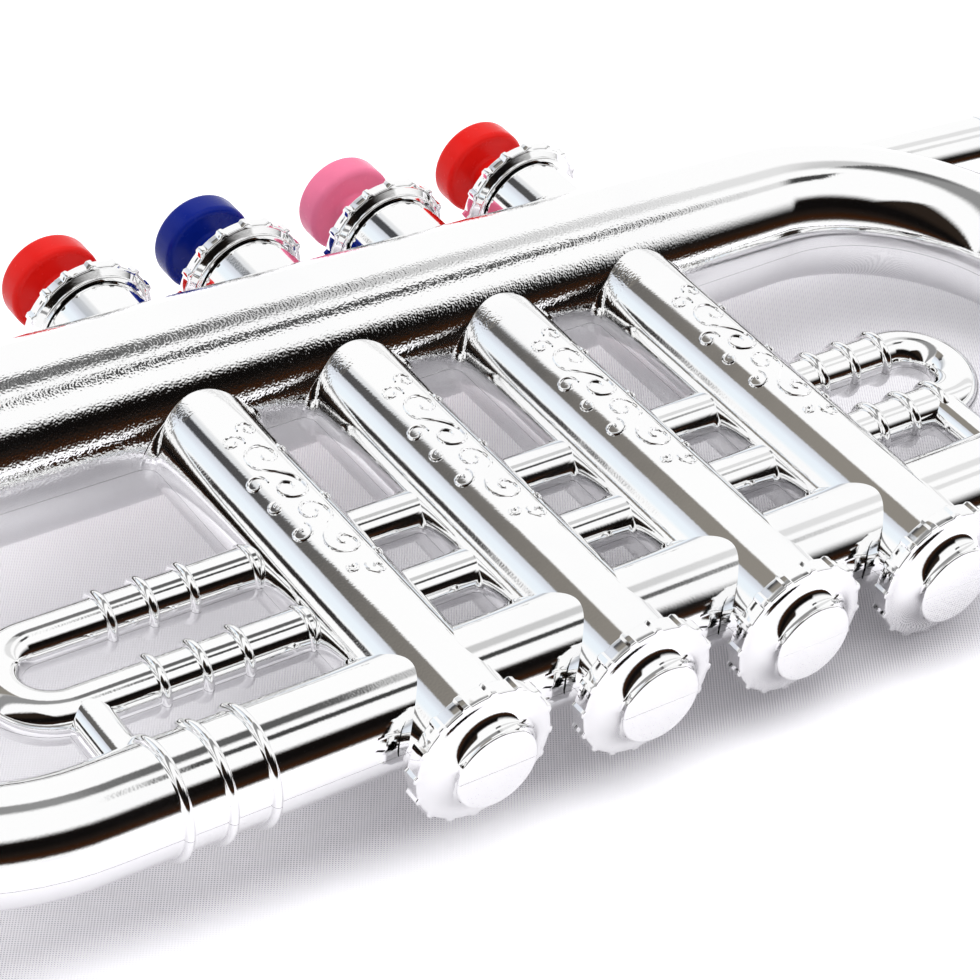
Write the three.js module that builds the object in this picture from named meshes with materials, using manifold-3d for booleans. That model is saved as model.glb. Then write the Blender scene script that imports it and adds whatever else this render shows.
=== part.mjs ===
// Toy trumpet with four sprung keys, lying on its side. Millimetres, +Z up.
// X runs along the top tube, from the bell (low X) to the mouthpiece (high X).
// Y runs along the valves, towards the keys. The two body shells part at Z = 0.
// While it is drawn, X = 0 lies midway between the two inner valves and Y = 0 on the top tube's axis.
// The last lines move the whole model so that its origin is the middle of its bounding box.
import * as THREE from 'three';
import { mergeVertices } from 'three/addons/utils/BufferGeometryUtils.js';
import Module from 'manifold-3d';

const wasm = await Module();
wasm.setup();

// Valves and the closed loop of tube that carries them.
const valve_count = 4;
const valve_pitch = 27;
const loop_height = 73.4;
const left_bend_reach = 51;
const right_bend_reach = 32.5;
const top_tube_bell_radius = 14.4;
const top_tube_first_valve_radius = 14.1;
const top_tube_last_valve_radius = 12.5;
const top_tube_bend_radius = 11.6;
const low_tube_radius = 7.75;
const left_bend_top_radius = 9.4;
const stub_radius = 7.85;
const shell_wall = 1.6;
const parting_gap = 0.1;
const bulkhead_thickness = 2.4;
const bulkhead_offset = 18;

// Valve casings, bored through, with a ledge that carries the reed block. Rises are from the low tube's axis.
const casing_radius = 8.7;
const casing_bore_radius = 7;
const casing_top = 18.4;
const casing_foot = 10;
const ledge_radius = 6;
const ledge_thickness = 1.2;
const ledge_rise = 17.1;

// Crossbars between the casings, and the small U-shaped slides at both ends.
const bar_radius = 3.67;
const upper_bar_rise = 33;
const lower_bar_rise = 18.6;
const left_slide_length = 43.3;
const right_slide_length = 27.6;
const post_radius = 3.4;
const left_post_reach = 42.4;
const right_post_reach = 26.5;

// Ring beads on the slides and on the left low tube.
const beads_per_row = 3;
const bead_pitch = 6.4;
const bead_width = 1.6;
const bead_height = 0.9;
const left_slide_bead_reach = 18.9;
const right_slide_bead_reach = 12.9;
const low_tube_bead_reach = 28.7;

// Bell, which plugs into the left end of the top tube.
const bell_joint_reach = 98.5;
const bell_length = 75;
const bell_rim_radius = 46;
const bell_wall = 1.8;
const bell_rim_bead = 1.5;
const bell_spigot_length = 8;
const bell_steps = 8;
const flare_power = 3.2;

// Mouth pipe moulded with the shells, leaning slightly off the top tube's line, and its mouthpiece.
const pipe_radius = 6.2;
const pipe_tilt_degrees = 3.8;
const pipe_rise = 3.6;
const pipe_bore_radius = 3.4;
const pipe_length = 52;
const mouthpiece_length = 32;
const mouthpiece_rim_radius = 11;
const mouthpiece_rim_thickness = 2.6;
const mouthpiece_waist_radius = 4.6;
const mouthpiece_collar_radius = 6.2;
const mouthpiece_collar_length = 4;
const cup_radius = 8.2;
const cup_depth = 8;
const throat_radius = 1.9;
const shank_length = 10;

// Caps on both ends of each casing, with straight ridges round their flanges. Shares are of a ridge's pitch.
const cap_radius = 11.1;
const cap_thickness = 2.6;
const cap_ridges = 16;
const cap_ridge_height = 0.6;
const cap_ridge_foot_share = 0.4;
const cap_ridge_crown_share = 0.18;
const spigot_radius = 6.7;
const bottom_spigot_length = 5;
const boss_radius = 6.4;
const boss_flare_radius = 9.3;
const boss_height = 3.2;
const boss_edge = 0.6;
const collar_radius = 9.5;
const collar_thickness = 1.2;
const top_spigot_length = 4;

// Keys, their rods and what the rods work on.
const key_radius = 7.65;
const key_thickness = 5.1;
const key_edge = 1.1;
const key_stand = 7.5;
const key_stem_radius = 3.1;
const key_stem_depth = 12;
const key_socket_depth = 6.5;
const key_travel = 6.5;
const rod_pin_radius = 1.6;
const rod_foot_radius = 5.4;
const rod_foot_thickness = 2.5;
const pad_radius = 5.6;
const pad_thickness = 1.5;
const block_thickness = 6;
const block_slot_offset = 4.6;
const block_slot_width = 1.3;
const block_slot_length = 5;
const reed_length = 6.6;
const reed_width = 2;
const reed_heel = 1.8;
const reed_thickness = 0.4;
const spring_radius = 4.3;
const spring_wire_radius = 0.3;
const spring_curls = 6;

// Clearances.
const seat_gap = 0.3;
const running_gap = 0.3;
const glue_gap = 0.1;
const cut_overrun = 1;
const weld = 0.0001;

// Facets.
const tube_sides = 20;
const bore_sides = 16;
const bell_sides = 28;
const bar_sides = 12;
const bend_steps = 8;
const slide_bend_steps = 6;
const spring_sides = 5;
const spring_steps = 8;

// Places that follow from the sizes above.
const bend_radius = loop_height / 2;
const first_valve_x = -valve_pitch * (valve_count - 1) / 2;
const last_valve_x = -first_valve_x;
const left_bend_x = first_valve_x - left_bend_reach;
const right_bend_x = last_valve_x + right_bend_reach;
const bell_joint_x = first_valve_x - bell_joint_reach;
const bell_rim_x = bell_joint_x - bell_length;
const pipe_tilt = THREE.MathUtils.degToRad(pipe_tilt_degrees);
const mouthpiece_end = pipe_length + mouthpiece_length;
const casing_drop = loop_height + casing_foot;
const ledge_drop = loop_height - ledge_rise;
const upper_bar_drop = loop_height - upper_bar_rise;
const lower_bar_drop = loop_height - lower_bar_rise;
const mouthpiece_end_x = (
  right_bend_x + mouthpiece_end * Math.cos(pipe_tilt) + mouthpiece_rim_radius * Math.sin(pipe_tilt)
);
const slide_bend_radius = (lower_bar_drop - upper_bar_drop) / 2;
const slide_mid_y = -(upper_bar_drop + lower_bar_drop) / 2;
const left_slide_x = first_valve_x - left_slide_length;
const right_slide_x = last_valve_x + right_slide_length;
const left_post_x = first_valve_x - left_post_reach;
const right_post_x = last_valve_x + right_post_reach;
const top_cap_y = casing_top + seat_gap;
const key_under_y = top_cap_y + collar_thickness + cap_thickness + key_stand;
const bottom_cap_y = -casing_drop - seat_gap;
const boss_face_y = bottom_cap_y - cap_thickness - boss_height;
const block_under_y = -ledge_drop + seat_gap;
const pad_top_y = block_under_y - seat_gap;
const foot_top_y = pad_top_y - pad_thickness - glue_gap;
const stem_end_y = top_cap_y - top_spigot_length - key_stem_depth;
const rod_top_y = stem_end_y - glue_gap;
const reed_y = block_under_y + block_thickness + glue_gap;
const spring_top_y = foot_top_y - rod_foot_thickness - seat_gap;
const spring_end_y = bottom_cap_y + bottom_spigot_length + seat_gap;

// Materials.
const chrome = new THREE.MeshStandardMaterial({ color: 0xd9dbe0, metalness: 1, roughness: 0.12 });
const red_plastic = new THREE.MeshStandardMaterial({ color: 0xe2231f, metalness: 0, roughness: 0.3 });
const blue_plastic = new THREE.MeshStandardMaterial({ color: 0x1b2a92, metalness: 0, roughness: 0.3 });
const pink_plastic = new THREE.MeshStandardMaterial({ color: 0xec6a9c, metalness: 0, roughness: 0.3 });
const white_plastic = new THREE.MeshStandardMaterial({ color: 0xe9e7e1, metalness: 0, roughness: 0.6 });
const rubber = new THREE.MeshStandardMaterial({ color: 0x2a2a2c, metalness: 0, roughness: 0.9 });
const steel = new THREE.MeshStandardMaterial({ color: 0xa9abae, metalness: 1, roughness: 0.3 });
const brass = new THREE.MeshStandardMaterial({ color: 0xc9a44c, metalness: 1, roughness: 0.3 });
const key_materials = [red_plastic, blue_plastic, pink_plastic, red_plastic];

const model = new THREE.Group();

function addPiece(name, geometry, material, x = 0, y = 0) {
  const mesh = new THREE.Mesh(geometry, material);
  mesh.name = name;
  mesh.position.set(x, y, 0);
  model.add(mesh);
}

// The same shape with its shared vertices merged and its triangles without area left out.
function welded(geometry) {
  const bare = geometry.clone();
  bare.deleteAttribute('normal');
  bare.deleteAttribute('uv');
  const merged = mergeVertices(bare, weld);
  const corners = merged.index.array;
  const kept = [];
  for (let i = 0; i < corners.length; i += 3) {
    const [a, b, c] = corners.slice(i, i + 3);
    if (a !== b && b !== c && c !== a) {
      kept.push(a, b, c);
    }
  }
  merged.setIndex(kept);
  merged.computeVertexNormals();
  return merged;
}

// A closed geometry as a solid that can be joined and cut.
function solidOf(geometry) {
  const whole = welded(geometry);
  return new wasm.Manifold(new wasm.Mesh({
    numProp: 3,
    vertProperties: whole.attributes.position.array,
    triVerts: new Uint32Array(whole.index.array),
  }));
}

function geometryOf(solid) {
  const mesh = solid.getMesh();
  const geometry = new THREE.BufferGeometry();
  geometry.setAttribute('position', new THREE.BufferAttribute(new Float32Array(mesh.vertProperties), 3));
  geometry.setIndex(new THREE.BufferAttribute(new Uint32Array(mesh.triVerts), 1));
  geometry.computeVertexNormals();
  return geometry;
}

function joined(geometries) {
  let whole = solidOf(geometries[0]);
  for (const geometry of geometries.slice(1)) {
    whole = whole.add(solidOf(geometry));
  }
  return whole;
}

// A piece turned about Y from [radius, y] points that begin and end on the axis or close on themselves.
function turned(points, sides) {
  return welded(new THREE.LatheGeometry(points.map(([radius, y]) => new THREE.Vector2(radius, y)), sides));
}

// A straight tube along X through [x, radius] stations, at the given height.
function straightTube(stations, y, sides) {
  const points = stations.map(([x, radius]) => [radius, x]);
  const profile = [[0, points[0][1]], ...points, [0, points.at(-1)[1]]];
  return turned(profile, sides).rotateZ(-Math.PI / 2).translate(0, y, 0);
}

// A straight rod along Y between two heights.
function uprightRod(radius, low_y, high_y, x, sides) {
  return turned([[0, low_y], [radius, low_y], [radius, high_y], [0, high_y]], sides).translate(x, 0, 0);
}

// A route round a closed loop: along the top to high X, down and back below, up again at low X and on.
class Racetrack {
  constructor(start_x, left_x, right_x, top_y, radius) {
    this.start_x = start_x;
    this.left_x = left_x;
    this.right_x = right_x;
    this.top_y = top_y;
    this.radius = radius;
    this.top_end = right_x - start_x;
    this.right_end = this.top_end + Math.PI * radius;
    this.low_end = this.right_end + right_x - left_x;
    this.left_end = this.low_end + Math.PI * radius;
  }

  // Distances along the route at which a tube needs a ring.
  ringPlaces(steps) {
    const places = [];
    for (let i = 0; i <= steps; i += 1) {
      places.push(this.top_end + (this.right_end - this.top_end) * i / steps);
    }
    for (let i = 0; i <= steps; i += 1) {
      places.push(this.low_end + (this.left_end - this.low_end) * i / steps);
    }
    return places;
  }

  // The point at a distance along the route, moved sideways, away from the loop's middle, by offset.
  pointAt(along, offset) {
    const reach = this.radius + offset;
    const middle_y = this.top_y - this.radius;
    if (along < this.top_end) {
      return [this.start_x + along, middle_y + reach];
    }
    if (along < this.right_end) {
      const turn = (along - this.top_end) / this.radius;
      return [this.right_x + reach * Math.sin(turn), middle_y + reach * Math.cos(turn)];
    }
    if (along < this.low_end) {
      return [this.right_x - (along - this.right_end), middle_y - reach];
    }
    if (along < this.left_end) {
      const turn = (along - this.low_end) / this.radius;
      return [this.left_x - reach * Math.sin(turn), middle_y - reach * Math.cos(turn)];
    }
    return [this.left_x + along - this.left_end, middle_y + reach];
  }
}

// A tube along a route: radiusAt gives its radius at a distance along it.
function routedTube(route, from, to, steps, radiusAt, sides, more_places = []) {
  const between = [...route.ringPlaces(steps), ...more_places].filter((place) => place > from && place < to);
  const places = [from, ...new Set(between.sort((a, b) => a - b)), to];
  const profile = [[0, from], ...places.map((place) => [radiusAt(place), place]), [0, to]];
  const geometry = turned(profile, sides);
  const position = geometry.attributes.position;
  for (let i = 0; i < position.count; i += 1) {
    const [x, y] = route.pointAt(position.getY(i), position.getX(i));
    position.setXYZ(i, x, y, -position.getZ(i));
  }
  return geometry;
}

// Moves a piece drawn from x = 0 onto the mouth pipe's leaning line.
function onPipe(geometry) {
  return geometry.rotateZ(-pipe_tilt).translate(right_bend_x, pipe_rise, 0);
}

function valveX(number) {
  return first_valve_x + (number - 1) * valve_pitch;
}

// The main loop starts at the bell's joint and ends inside the top tube, above the left bend.
const main_loop = new Racetrack(bell_joint_x, left_bend_x, right_bend_x, 0, bend_radius);
const main_radii = [
  [0, top_tube_bell_radius],
  [left_bend_x - bell_joint_x, top_tube_bell_radius],
  [first_valve_x - bell_joint_x, top_tube_first_valve_radius],
  [last_valve_x - bell_joint_x, top_tube_last_valve_radius],
  [main_loop.top_end, top_tube_bend_radius],
  [main_loop.right_end, low_tube_radius],
  [main_loop.low_end, low_tube_radius],
  [main_loop.left_end, left_bend_top_radius],
];

function mainRadius(along) {
  let i = 1;
  while (i < main_radii.length - 1 && along > main_radii[i][0]) {
    i += 1;
  }
  const [from, first] = main_radii[i - 1];
  const [to, last] = main_radii[i];
  return first + (last - first) * Math.max(0, along - from) / (to - from);
}

function mainTube(from, to, wall, sides) {
  const places = main_radii.map(([place]) => place);
  return routedTube(main_loop, from, to, bend_steps, (along) => mainRadius(along) - wall, sides, places);
}

function beadRow(tube_radius, y, first_x, step) {
  const row = [];
  for (let i = 0; i < beads_per_row; i += 1) {
    const middle = first_x + i * step;
    const stations = [
      [middle - bead_width / 2, tube_radius],
      [middle - bead_width / 4, tube_radius + bead_height],
      [middle + bead_width / 4, tube_radius + bead_height],
      [middle + bead_width / 2, tube_radius],
    ];
    row.push(straightTube(stations, y, bar_sides));
  }
  return row;
}

// Body: the outside of every tube, casing, bar, slide and post, joined.
function bodyOutside() {
  const slide_top_y = -upper_bar_drop;
  const slides = new Racetrack(first_valve_x, left_slide_x, right_slide_x, slide_top_y, slide_bend_radius);
  const slides_end = slides.left_end + left_slide_length - casing_bore_radius / 2;
  const post_top_y = slide_mid_y - slide_bend_radius;
  const casing_place = main_loop.low_end - (first_valve_x - left_bend_x);
  const outside = [
    mainTube(0, casing_place, 0, tube_sides),
    mainTube(casing_place + casing_bore_radius / 2, main_loop.left_end, 0, tube_sides),
    straightTube([[first_valve_x, stub_radius], [last_valve_x, stub_radius]], -loop_height, bar_sides),
    onPipe(straightTube([[0, pipe_radius], [pipe_length, pipe_radius]], 0, bar_sides)),
    routedTube(slides, 0, slides_end, slide_bend_steps, () => bar_radius, bar_sides),
    uprightRod(post_radius, -loop_height, post_top_y, left_post_x, bar_sides),
    uprightRod(post_radius, -loop_height, post_top_y, right_post_x, bar_sides),
    ...beadRow(low_tube_radius, -loop_height, first_valve_x - low_tube_bead_reach, -bead_pitch),
  ];
  for (const drop of [upper_bar_drop, lower_bar_drop]) {
    outside.push(...beadRow(bar_radius, -drop, first_valve_x - left_slide_bead_reach, -bead_pitch));
    outside.push(...beadRow(bar_radius, -drop, last_valve_x + right_slide_bead_reach, bead_pitch));
  }
  for (let number = 1; number <= valve_count; number += 1) {
    outside.push(uprightRod(casing_radius, -casing_drop, casing_top, valveX(number), tube_sides));
  }
  return joined(outside);
}

// Body: the bores. Two bulkheads keep the low tube, the right bend and the mouth pipe as one air chest,
// apart from the top tube and the left bend, which open into the bell.
function bodyInside() {
  const top_bulkhead = last_valve_x + bulkhead_offset - bell_joint_x;
  const low_bulkhead = main_loop.low_end - (first_valve_x - bulkhead_offset - left_bend_x);
  const chest_start = top_bulkhead + bulkhead_thickness;
  const left_start = low_bulkhead + bulkhead_thickness;
  const pipe_bore_end = pipe_length + cut_overrun;
  const inside = [
    mainTube(-cut_overrun, top_bulkhead, shell_wall, bore_sides),
    mainTube(chest_start, low_bulkhead, shell_wall, bar_sides),
    mainTube(left_start, main_loop.left_end, shell_wall, bar_sides),
    onPipe(straightTube([[0, pipe_bore_radius], [pipe_bore_end, pipe_bore_radius]], 0, bore_sides)),
  ];
  for (let number = 1; number <= valve_count; number += 1) {
    const x = valveX(number);
    const ledge_top = -ledge_drop;
    const ledge_bottom = ledge_top - ledge_thickness;
    inside.push(uprightRod(casing_bore_radius, ledge_top, casing_top + cut_overrun, x, bore_sides));
    inside.push(uprightRod(ledge_radius, ledge_bottom - cut_overrun, ledge_top + cut_overrun, x, bore_sides));
    inside.push(uprightRod(casing_bore_radius, -casing_drop - cut_overrun, ledge_bottom, x, bore_sides));
  }
  return joined(inside);
}

// One half of the body: side is 1 for the shell above the parting plane and -1 for the one below.
function bodyShell(body, side) {
  const length = 2 * (mouthpiece_end_x - bell_joint_x);
  const height = top_tube_bell_radius + cut_overrun;
  const half = new THREE.BoxGeometry(length, length, height);
  half.translate(0, 0, side * (height / 2 + parting_gap / 2));
  return geometryOf(body.intersect(solidOf(half)));
}

// Bell: one turned flare with a beaded rim and a spigot that enters the top tube's bore.
function bell() {
  const spigot_outer = top_tube_bell_radius - shell_wall - seat_gap;
  const spigot_inner = spigot_outer - bell_wall;
  const neck = bell_joint_x - seat_gap;
  const flare_radius = (share) => (
    top_tube_bell_radius + (bell_rim_radius - bell_rim_bead - top_tube_bell_radius) * share ** flare_power
  );
  const outer = [];
  const inner = [];
  for (let i = 0; i <= bell_steps; i += 1) {
    const x = neck + (bell_rim_x + bell_rim_bead - neck) * i / bell_steps;
    outer.push([flare_radius(i / bell_steps), x]);
    inner.push([flare_radius(i / bell_steps) - bell_wall, x]);
  }
  const outline = [
    [spigot_inner, bell_joint_x + bell_spigot_length],
    [spigot_outer, bell_joint_x + bell_spigot_length],
    [spigot_outer, neck],
    ...outer,
    [bell_rim_radius, bell_rim_x + bell_rim_bead],
    [bell_rim_radius - bell_rim_bead, bell_rim_x],
    [bell_rim_radius - 2 * bell_rim_bead, bell_rim_x],
    ...inner.slice(1).reverse(),
    [spigot_inner, neck],
    [spigot_inner, bell_joint_x + bell_spigot_length],
  ];
  return turned(outline.reverse(), bell_sides).rotateZ(-Math.PI / 2);
}

// Mouthpiece: shank, collar, waist and cup, bored through.
function mouthpiece() {
  const start = pipe_length + seat_gap;
  const collar_end = start + mouthpiece_collar_length;
  const rim_back = mouthpiece_end - mouthpiece_rim_thickness;
  const cup_bottom = mouthpiece_end - cup_depth;
  const shank_radius = pipe_bore_radius - running_gap;
  const outline = [
    [throat_radius, start - shank_length],
    [shank_radius, start - shank_length],
    [shank_radius, start],
    [mouthpiece_collar_radius, start],
    [mouthpiece_collar_radius, collar_end],
    [mouthpiece_waist_radius, collar_end + mouthpiece_waist_radius / 2],
    [mouthpiece_waist_radius, cup_bottom - mouthpiece_waist_radius],
    [cup_radius, cup_bottom],
    [mouthpiece_rim_radius, rim_back],
    [mouthpiece_rim_radius, mouthpiece_end],
    [cup_radius, mouthpiece_end],
    [cup_radius * Math.SQRT1_2, (cup_bottom + mouthpiece_end) / 2],
    [throat_radius, cup_bottom],
    [throat_radius, start - shank_length],
  ];
  return onPipe(turned(outline, bore_sides).rotateZ(-Math.PI / 2));
}

// A ridged flange from low_y to low_y + cap_thickness, joined to the turned rest of its cap.
function ridgedCap(low_y, rest) {
  const valley_radius = cap_radius - cap_ridge_height;
  const corners = [
    [-cap_ridge_foot_share, valley_radius],
    [-cap_ridge_crown_share, cap_radius],
    [cap_ridge_crown_share, cap_radius],
    [cap_ridge_foot_share, valley_radius],
  ];
  const places = [];
  for (let i = 0; i < cap_ridges; i += 1) {
    for (const [share, radius] of corners) {
      const angle = 2 * Math.PI * (i + share / 2) / cap_ridges;
      places.push(new THREE.Vector2(radius * Math.cos(angle), radius * Math.sin(angle)));
    }
  }
  const outline = new THREE.Shape(places);
  const flange = new THREE.ExtrudeGeometry(outline, { depth: cap_thickness, bevelEnabled: false, steps: 1 });
  flange.rotateX(-Math.PI / 2).translate(0, low_y, 0);
  return solidOf(flange).add(solidOf(turned(rest, bore_sides)));
}

// Top cap: collar, ridged flange and a spigot, bored for the key's stem. Its own Y = 0 is at the casing.
function topCap() {
  const inset = cap_radius - collar_radius + cap_ridge_height;
  const rest = [
    [0, -top_spigot_length],
    [spigot_radius, -top_spigot_length],
    [spigot_radius, 0],
    [collar_radius, 0],
    [collar_radius, collar_thickness + cap_thickness / 2],
    [collar_radius - inset, collar_thickness + cap_thickness / 2],
    [0, collar_thickness + cap_thickness / 2],
  ];
  const bore = uprightRod(
    key_stem_radius + running_gap,
    -top_spigot_length - cut_overrun,
    collar_thickness + cap_thickness + cut_overrun,
    0,
    bar_sides,
  );
  return geometryOf(ridgedCap(collar_thickness, rest).subtract(solidOf(bore)));
}

// Bottom cap: spigot, ridged flange and a boss with a hollow flare. Its own Y = 0 is at the casing.
function bottomCap() {
  const face = -cap_thickness - boss_height;
  const flare_mid = (boss_radius + boss_flare_radius) / 2 - (boss_flare_radius - boss_radius) / 4;
  const rest = [
    [0, face],
    [boss_radius - boss_edge, face],
    [boss_radius, face + boss_edge],
    [boss_radius, -cap_thickness - boss_height / 2],
    [flare_mid, -cap_thickness - boss_height / 4],
    [boss_flare_radius, -cap_thickness],
    [boss_flare_radius, -cap_thickness / 2],
    [spigot_radius, -cap_thickness / 2],
    [spigot_radius, bottom_spigot_length],
    [0, bottom_spigot_length],
  ];
  return geometryOf(ridgedCap(-cap_thickness, rest));
}

// Key: a button with rounded edges on a stem, which has a blind socket for the rod's pin.
function key() {
  const top = key_under_y + key_thickness;
  const socket = rod_pin_radius + running_gap;
  return turned([
    [0, stem_end_y + key_socket_depth],
    [socket, stem_end_y + key_socket_depth],
    [socket, stem_end_y],
    [key_stem_radius, stem_end_y],
    [key_stem_radius, key_under_y],
    [key_radius - key_edge, key_under_y],
    [key_radius, key_under_y + key_edge],
    [key_radius, top - key_edge],
    [key_radius - key_edge, top],
    [0, top],
  ], bore_sides);
}

// Rod: hangs from the key's stem, passes through the reed block and ends in the foot that holds the pad.
function keyRod() {
  const foot_bottom = foot_top_y - rod_foot_thickness;
  return turned([
    [0, foot_bottom],
    [rod_foot_radius, foot_bottom],
    [rod_foot_radius, foot_top_y],
    [key_stem_radius, foot_top_y],
    [key_stem_radius, rod_top_y],
    [rod_pin_radius, rod_top_y],
    [rod_pin_radius, stem_end_y + key_socket_depth - seat_gap],
    [0, stem_end_y + key_socket_depth - seat_gap],
  ], bar_sides);
}

// Seal pad: a soft ring round the rod that closes the reed block's slot from below.
function sealPad() {
  const bore = key_stem_radius + glue_gap;
  return turned([
    [bore, pad_top_y - pad_thickness],
    [pad_radius, pad_top_y - pad_thickness],
    [pad_radius, pad_top_y],
    [bore, pad_top_y],
    [bore, pad_top_y - pad_thickness],
  ], bar_sides);
}

// Reed block: a disc on the casing's ledge with a hole for the rod and a slot for the air.
function reedBlock() {
  const disc = new THREE.Shape().absarc(0, 0, spigot_radius, 0, 2 * Math.PI);
  const rod_hole = new THREE.Path().absarc(0, 0, key_stem_radius + running_gap, 0, 2 * Math.PI, true);
  const slot = new THREE.Path();
  const low = -block_slot_offset - block_slot_width / 2;
  slot.moveTo(-block_slot_length / 2, low);
  slot.lineTo(-block_slot_length / 2, low + block_slot_width);
  slot.lineTo(block_slot_length / 2, low + block_slot_width);
  slot.lineTo(block_slot_length / 2, low);
  slot.closePath();
  disc.holes.push(rod_hole, slot);
  const block = new THREE.ExtrudeGeometry(disc, {
    depth: block_thickness,
    bevelEnabled: false,
    curveSegments: bore_sides,
  });
  return block.rotateX(-Math.PI / 2).translate(0, block_under_y, 0);
}

// Reed: a thin tongue with a wider heel, lying over the slot.
function reed() {
  const outline = new THREE.Shape();
  outline.moveTo(-reed_length / 2, -reed_width / 2);
  outline.lineTo(-reed_length / 2 + reed_heel, -reed_width / 2);
  outline.lineTo(-reed_length / 2 + reed_heel, -block_slot_width / 2);
  outline.lineTo(reed_length / 2, -block_slot_width / 2);
  outline.lineTo(reed_length / 2, block_slot_width / 2);
  outline.lineTo(-reed_length / 2 + reed_heel, block_slot_width / 2);
  outline.lineTo(-reed_length / 2 + reed_heel, reed_width / 2);
  outline.lineTo(-reed_length / 2, reed_width / 2);
  outline.closePath();
  const tongue = new THREE.ExtrudeGeometry(outline, { depth: reed_thickness, bevelEnabled: false });
  return tongue.rotateX(-Math.PI / 2).translate(0, reed_y, block_slot_offset);
}

// Return spring: one open coil between the rod's foot and the bottom cap.
class Helix extends THREE.Curve {
  getPoint(share, target = new THREE.Vector3()) {
    const angle = 2 * Math.PI * spring_curls * share;
    const low = spring_end_y + spring_wire_radius;
    const rise = spring_top_y - spring_end_y - 2 * spring_wire_radius;
    return target.set(spring_radius * Math.cos(angle), low + rise * share, spring_radius * Math.sin(angle));
  }
}

function returnSpring() {
  const section = new THREE.Shape();
  for (let i = 0; i < spring_sides; i += 1) {
    const angle = 2 * Math.PI * i / spring_sides;
    const place = [spring_wire_radius * Math.cos(angle), spring_wire_radius * Math.sin(angle)];
    if (i === 0) {
      section.moveTo(...place);
    } else {
      section.lineTo(...place);
    }
  }
  section.closePath();
  return new THREE.ExtrudeGeometry(section, {
    steps: spring_curls * spring_steps,
    bevelEnabled: false,
    extrudePath: new Helix(),
  });
}

const body = bodyOutside().subtract(bodyInside());
addPiece('body_shell_upper', bodyShell(body, 1), chrome);
addPiece('body_shell_lower', bodyShell(body, -1), chrome);
addPiece('bell', bell(), chrome);
addPiece('mouthpiece', mouthpiece(), chrome);
for (let number = 1; number <= valve_count; number += 1) {
  const x = valveX(number);
  addPiece(`key_${number}`, key(), key_materials[number - 1], x);
  addPiece(`key_rod_${number}`, keyRod(), white_plastic, x);
  addPiece(`seal_pad_${number}`, sealPad(), rubber, x);
  addPiece(`return_spring_${number}`, returnSpring(), steel, x);
  addPiece(`reed_block_${number}`, reedBlock(), white_plastic, x);
  addPiece(`reed_${number}`, reed(), brass, x);
  addPiece(`top_cap_${number}`, topCap(), chrome, x, top_cap_y);
  addPiece(`bottom_cap_${number}`, bottomCap(), chrome, x, bottom_cap_y);
}

const spring_climb = spring_top_y - spring_end_y - 2 * spring_wire_radius;
const spring_gap = spring_climb / spring_curls - 2 * spring_wire_radius;
console.log(`spring curls clear each other by ${spring_gap.toFixed(2)} mm`);
console.log(`keys travel ${key_travel} mm of the ${key_stand} mm below them`);

// The origin is the middle of the bounding box.
model.position.set(-(bell_rim_x + mouthpiece_end_x) / 2, -(bell_rim_radius + boss_face_y) / 2, 0);

export default model;
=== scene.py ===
import itertools
import math

import bmesh
import bpy
from mathutils import Matrix, Vector


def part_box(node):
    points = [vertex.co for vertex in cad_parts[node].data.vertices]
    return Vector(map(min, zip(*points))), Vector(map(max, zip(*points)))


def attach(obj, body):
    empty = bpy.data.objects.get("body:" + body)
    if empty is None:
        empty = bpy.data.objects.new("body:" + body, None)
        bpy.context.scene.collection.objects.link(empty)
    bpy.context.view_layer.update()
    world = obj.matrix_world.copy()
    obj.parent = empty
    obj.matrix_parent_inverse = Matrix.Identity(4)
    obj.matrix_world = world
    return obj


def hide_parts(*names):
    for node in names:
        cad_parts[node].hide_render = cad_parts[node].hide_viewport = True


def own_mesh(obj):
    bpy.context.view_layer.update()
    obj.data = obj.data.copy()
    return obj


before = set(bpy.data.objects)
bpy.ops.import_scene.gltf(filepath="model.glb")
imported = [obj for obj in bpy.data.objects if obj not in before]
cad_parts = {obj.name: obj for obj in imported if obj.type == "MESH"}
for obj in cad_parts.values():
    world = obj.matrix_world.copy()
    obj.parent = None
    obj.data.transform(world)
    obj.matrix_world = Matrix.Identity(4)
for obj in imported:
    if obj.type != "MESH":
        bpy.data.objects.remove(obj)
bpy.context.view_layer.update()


# Body: two moulded plastic halves with a bright metallised coat, glued along a flat parting plane. One
# moulding holds the top tube, both bends, the low tube, four casings, crossbars, slides with ring beads, two
# posts and the mouth pipe. It is drawn in millimetres, from the top tube's axis midway between the valves.
millimetre = 0.001
valve_count = 4
valve_pitch = 27
valve_places = [valve_pitch * (n - (valve_count - 1) / 2) for n in range(valve_count)]
first_valve, last_valve = valve_places[0], valve_places[-1]
loop_height = 73.4
bend_radius = loop_height / 2
left_bend_reach, right_bend_reach, bell_joint_reach = 51, 32.5, 98.5
left_bend = first_valve - left_bend_reach
right_bend = last_valve + right_bend_reach
bell_joint = first_valve - bell_joint_reach
top_radii = {"bell": 14.4, "first": 14.1, "last": 12.5, "bend": 11.6}
low_radius = 7.75
left_bend_end_radius = 9.4
stub_radius = 7.85
casing_radius = 8.7
casing_top = 18.4
casing_foot = -83.4
bar_radius = 3.67
upper_bar, lower_bar = -40.4, -54.8
left_slide_length, right_slide_length = 43.3, 27.6
slide_left, slide_right = first_valve - left_slide_length, last_valve + right_slide_length
post_radius = 3.4
left_post_reach, right_post_reach = 42.4, 26.5
post_places = (first_valve - left_post_reach, last_valve + right_post_reach)
bead_count = 3
bead_pitch, bead_width, bead_height = 6.4, 1.6, 0.9
bead_sink = 0.2
low_bead_reach, left_bead_reach, right_bead_reach = 28.7, 18.9, 12.9
pipe_radius = 6.2
pipe_rise = 3.6
pipe_tilt = math.radians(-3.8)
pipe_start = Vector((right_bend, pipe_rise, 0))
pipe_length = 52
shell_wall = 1.6
pipe_bore = 3.4
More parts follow.
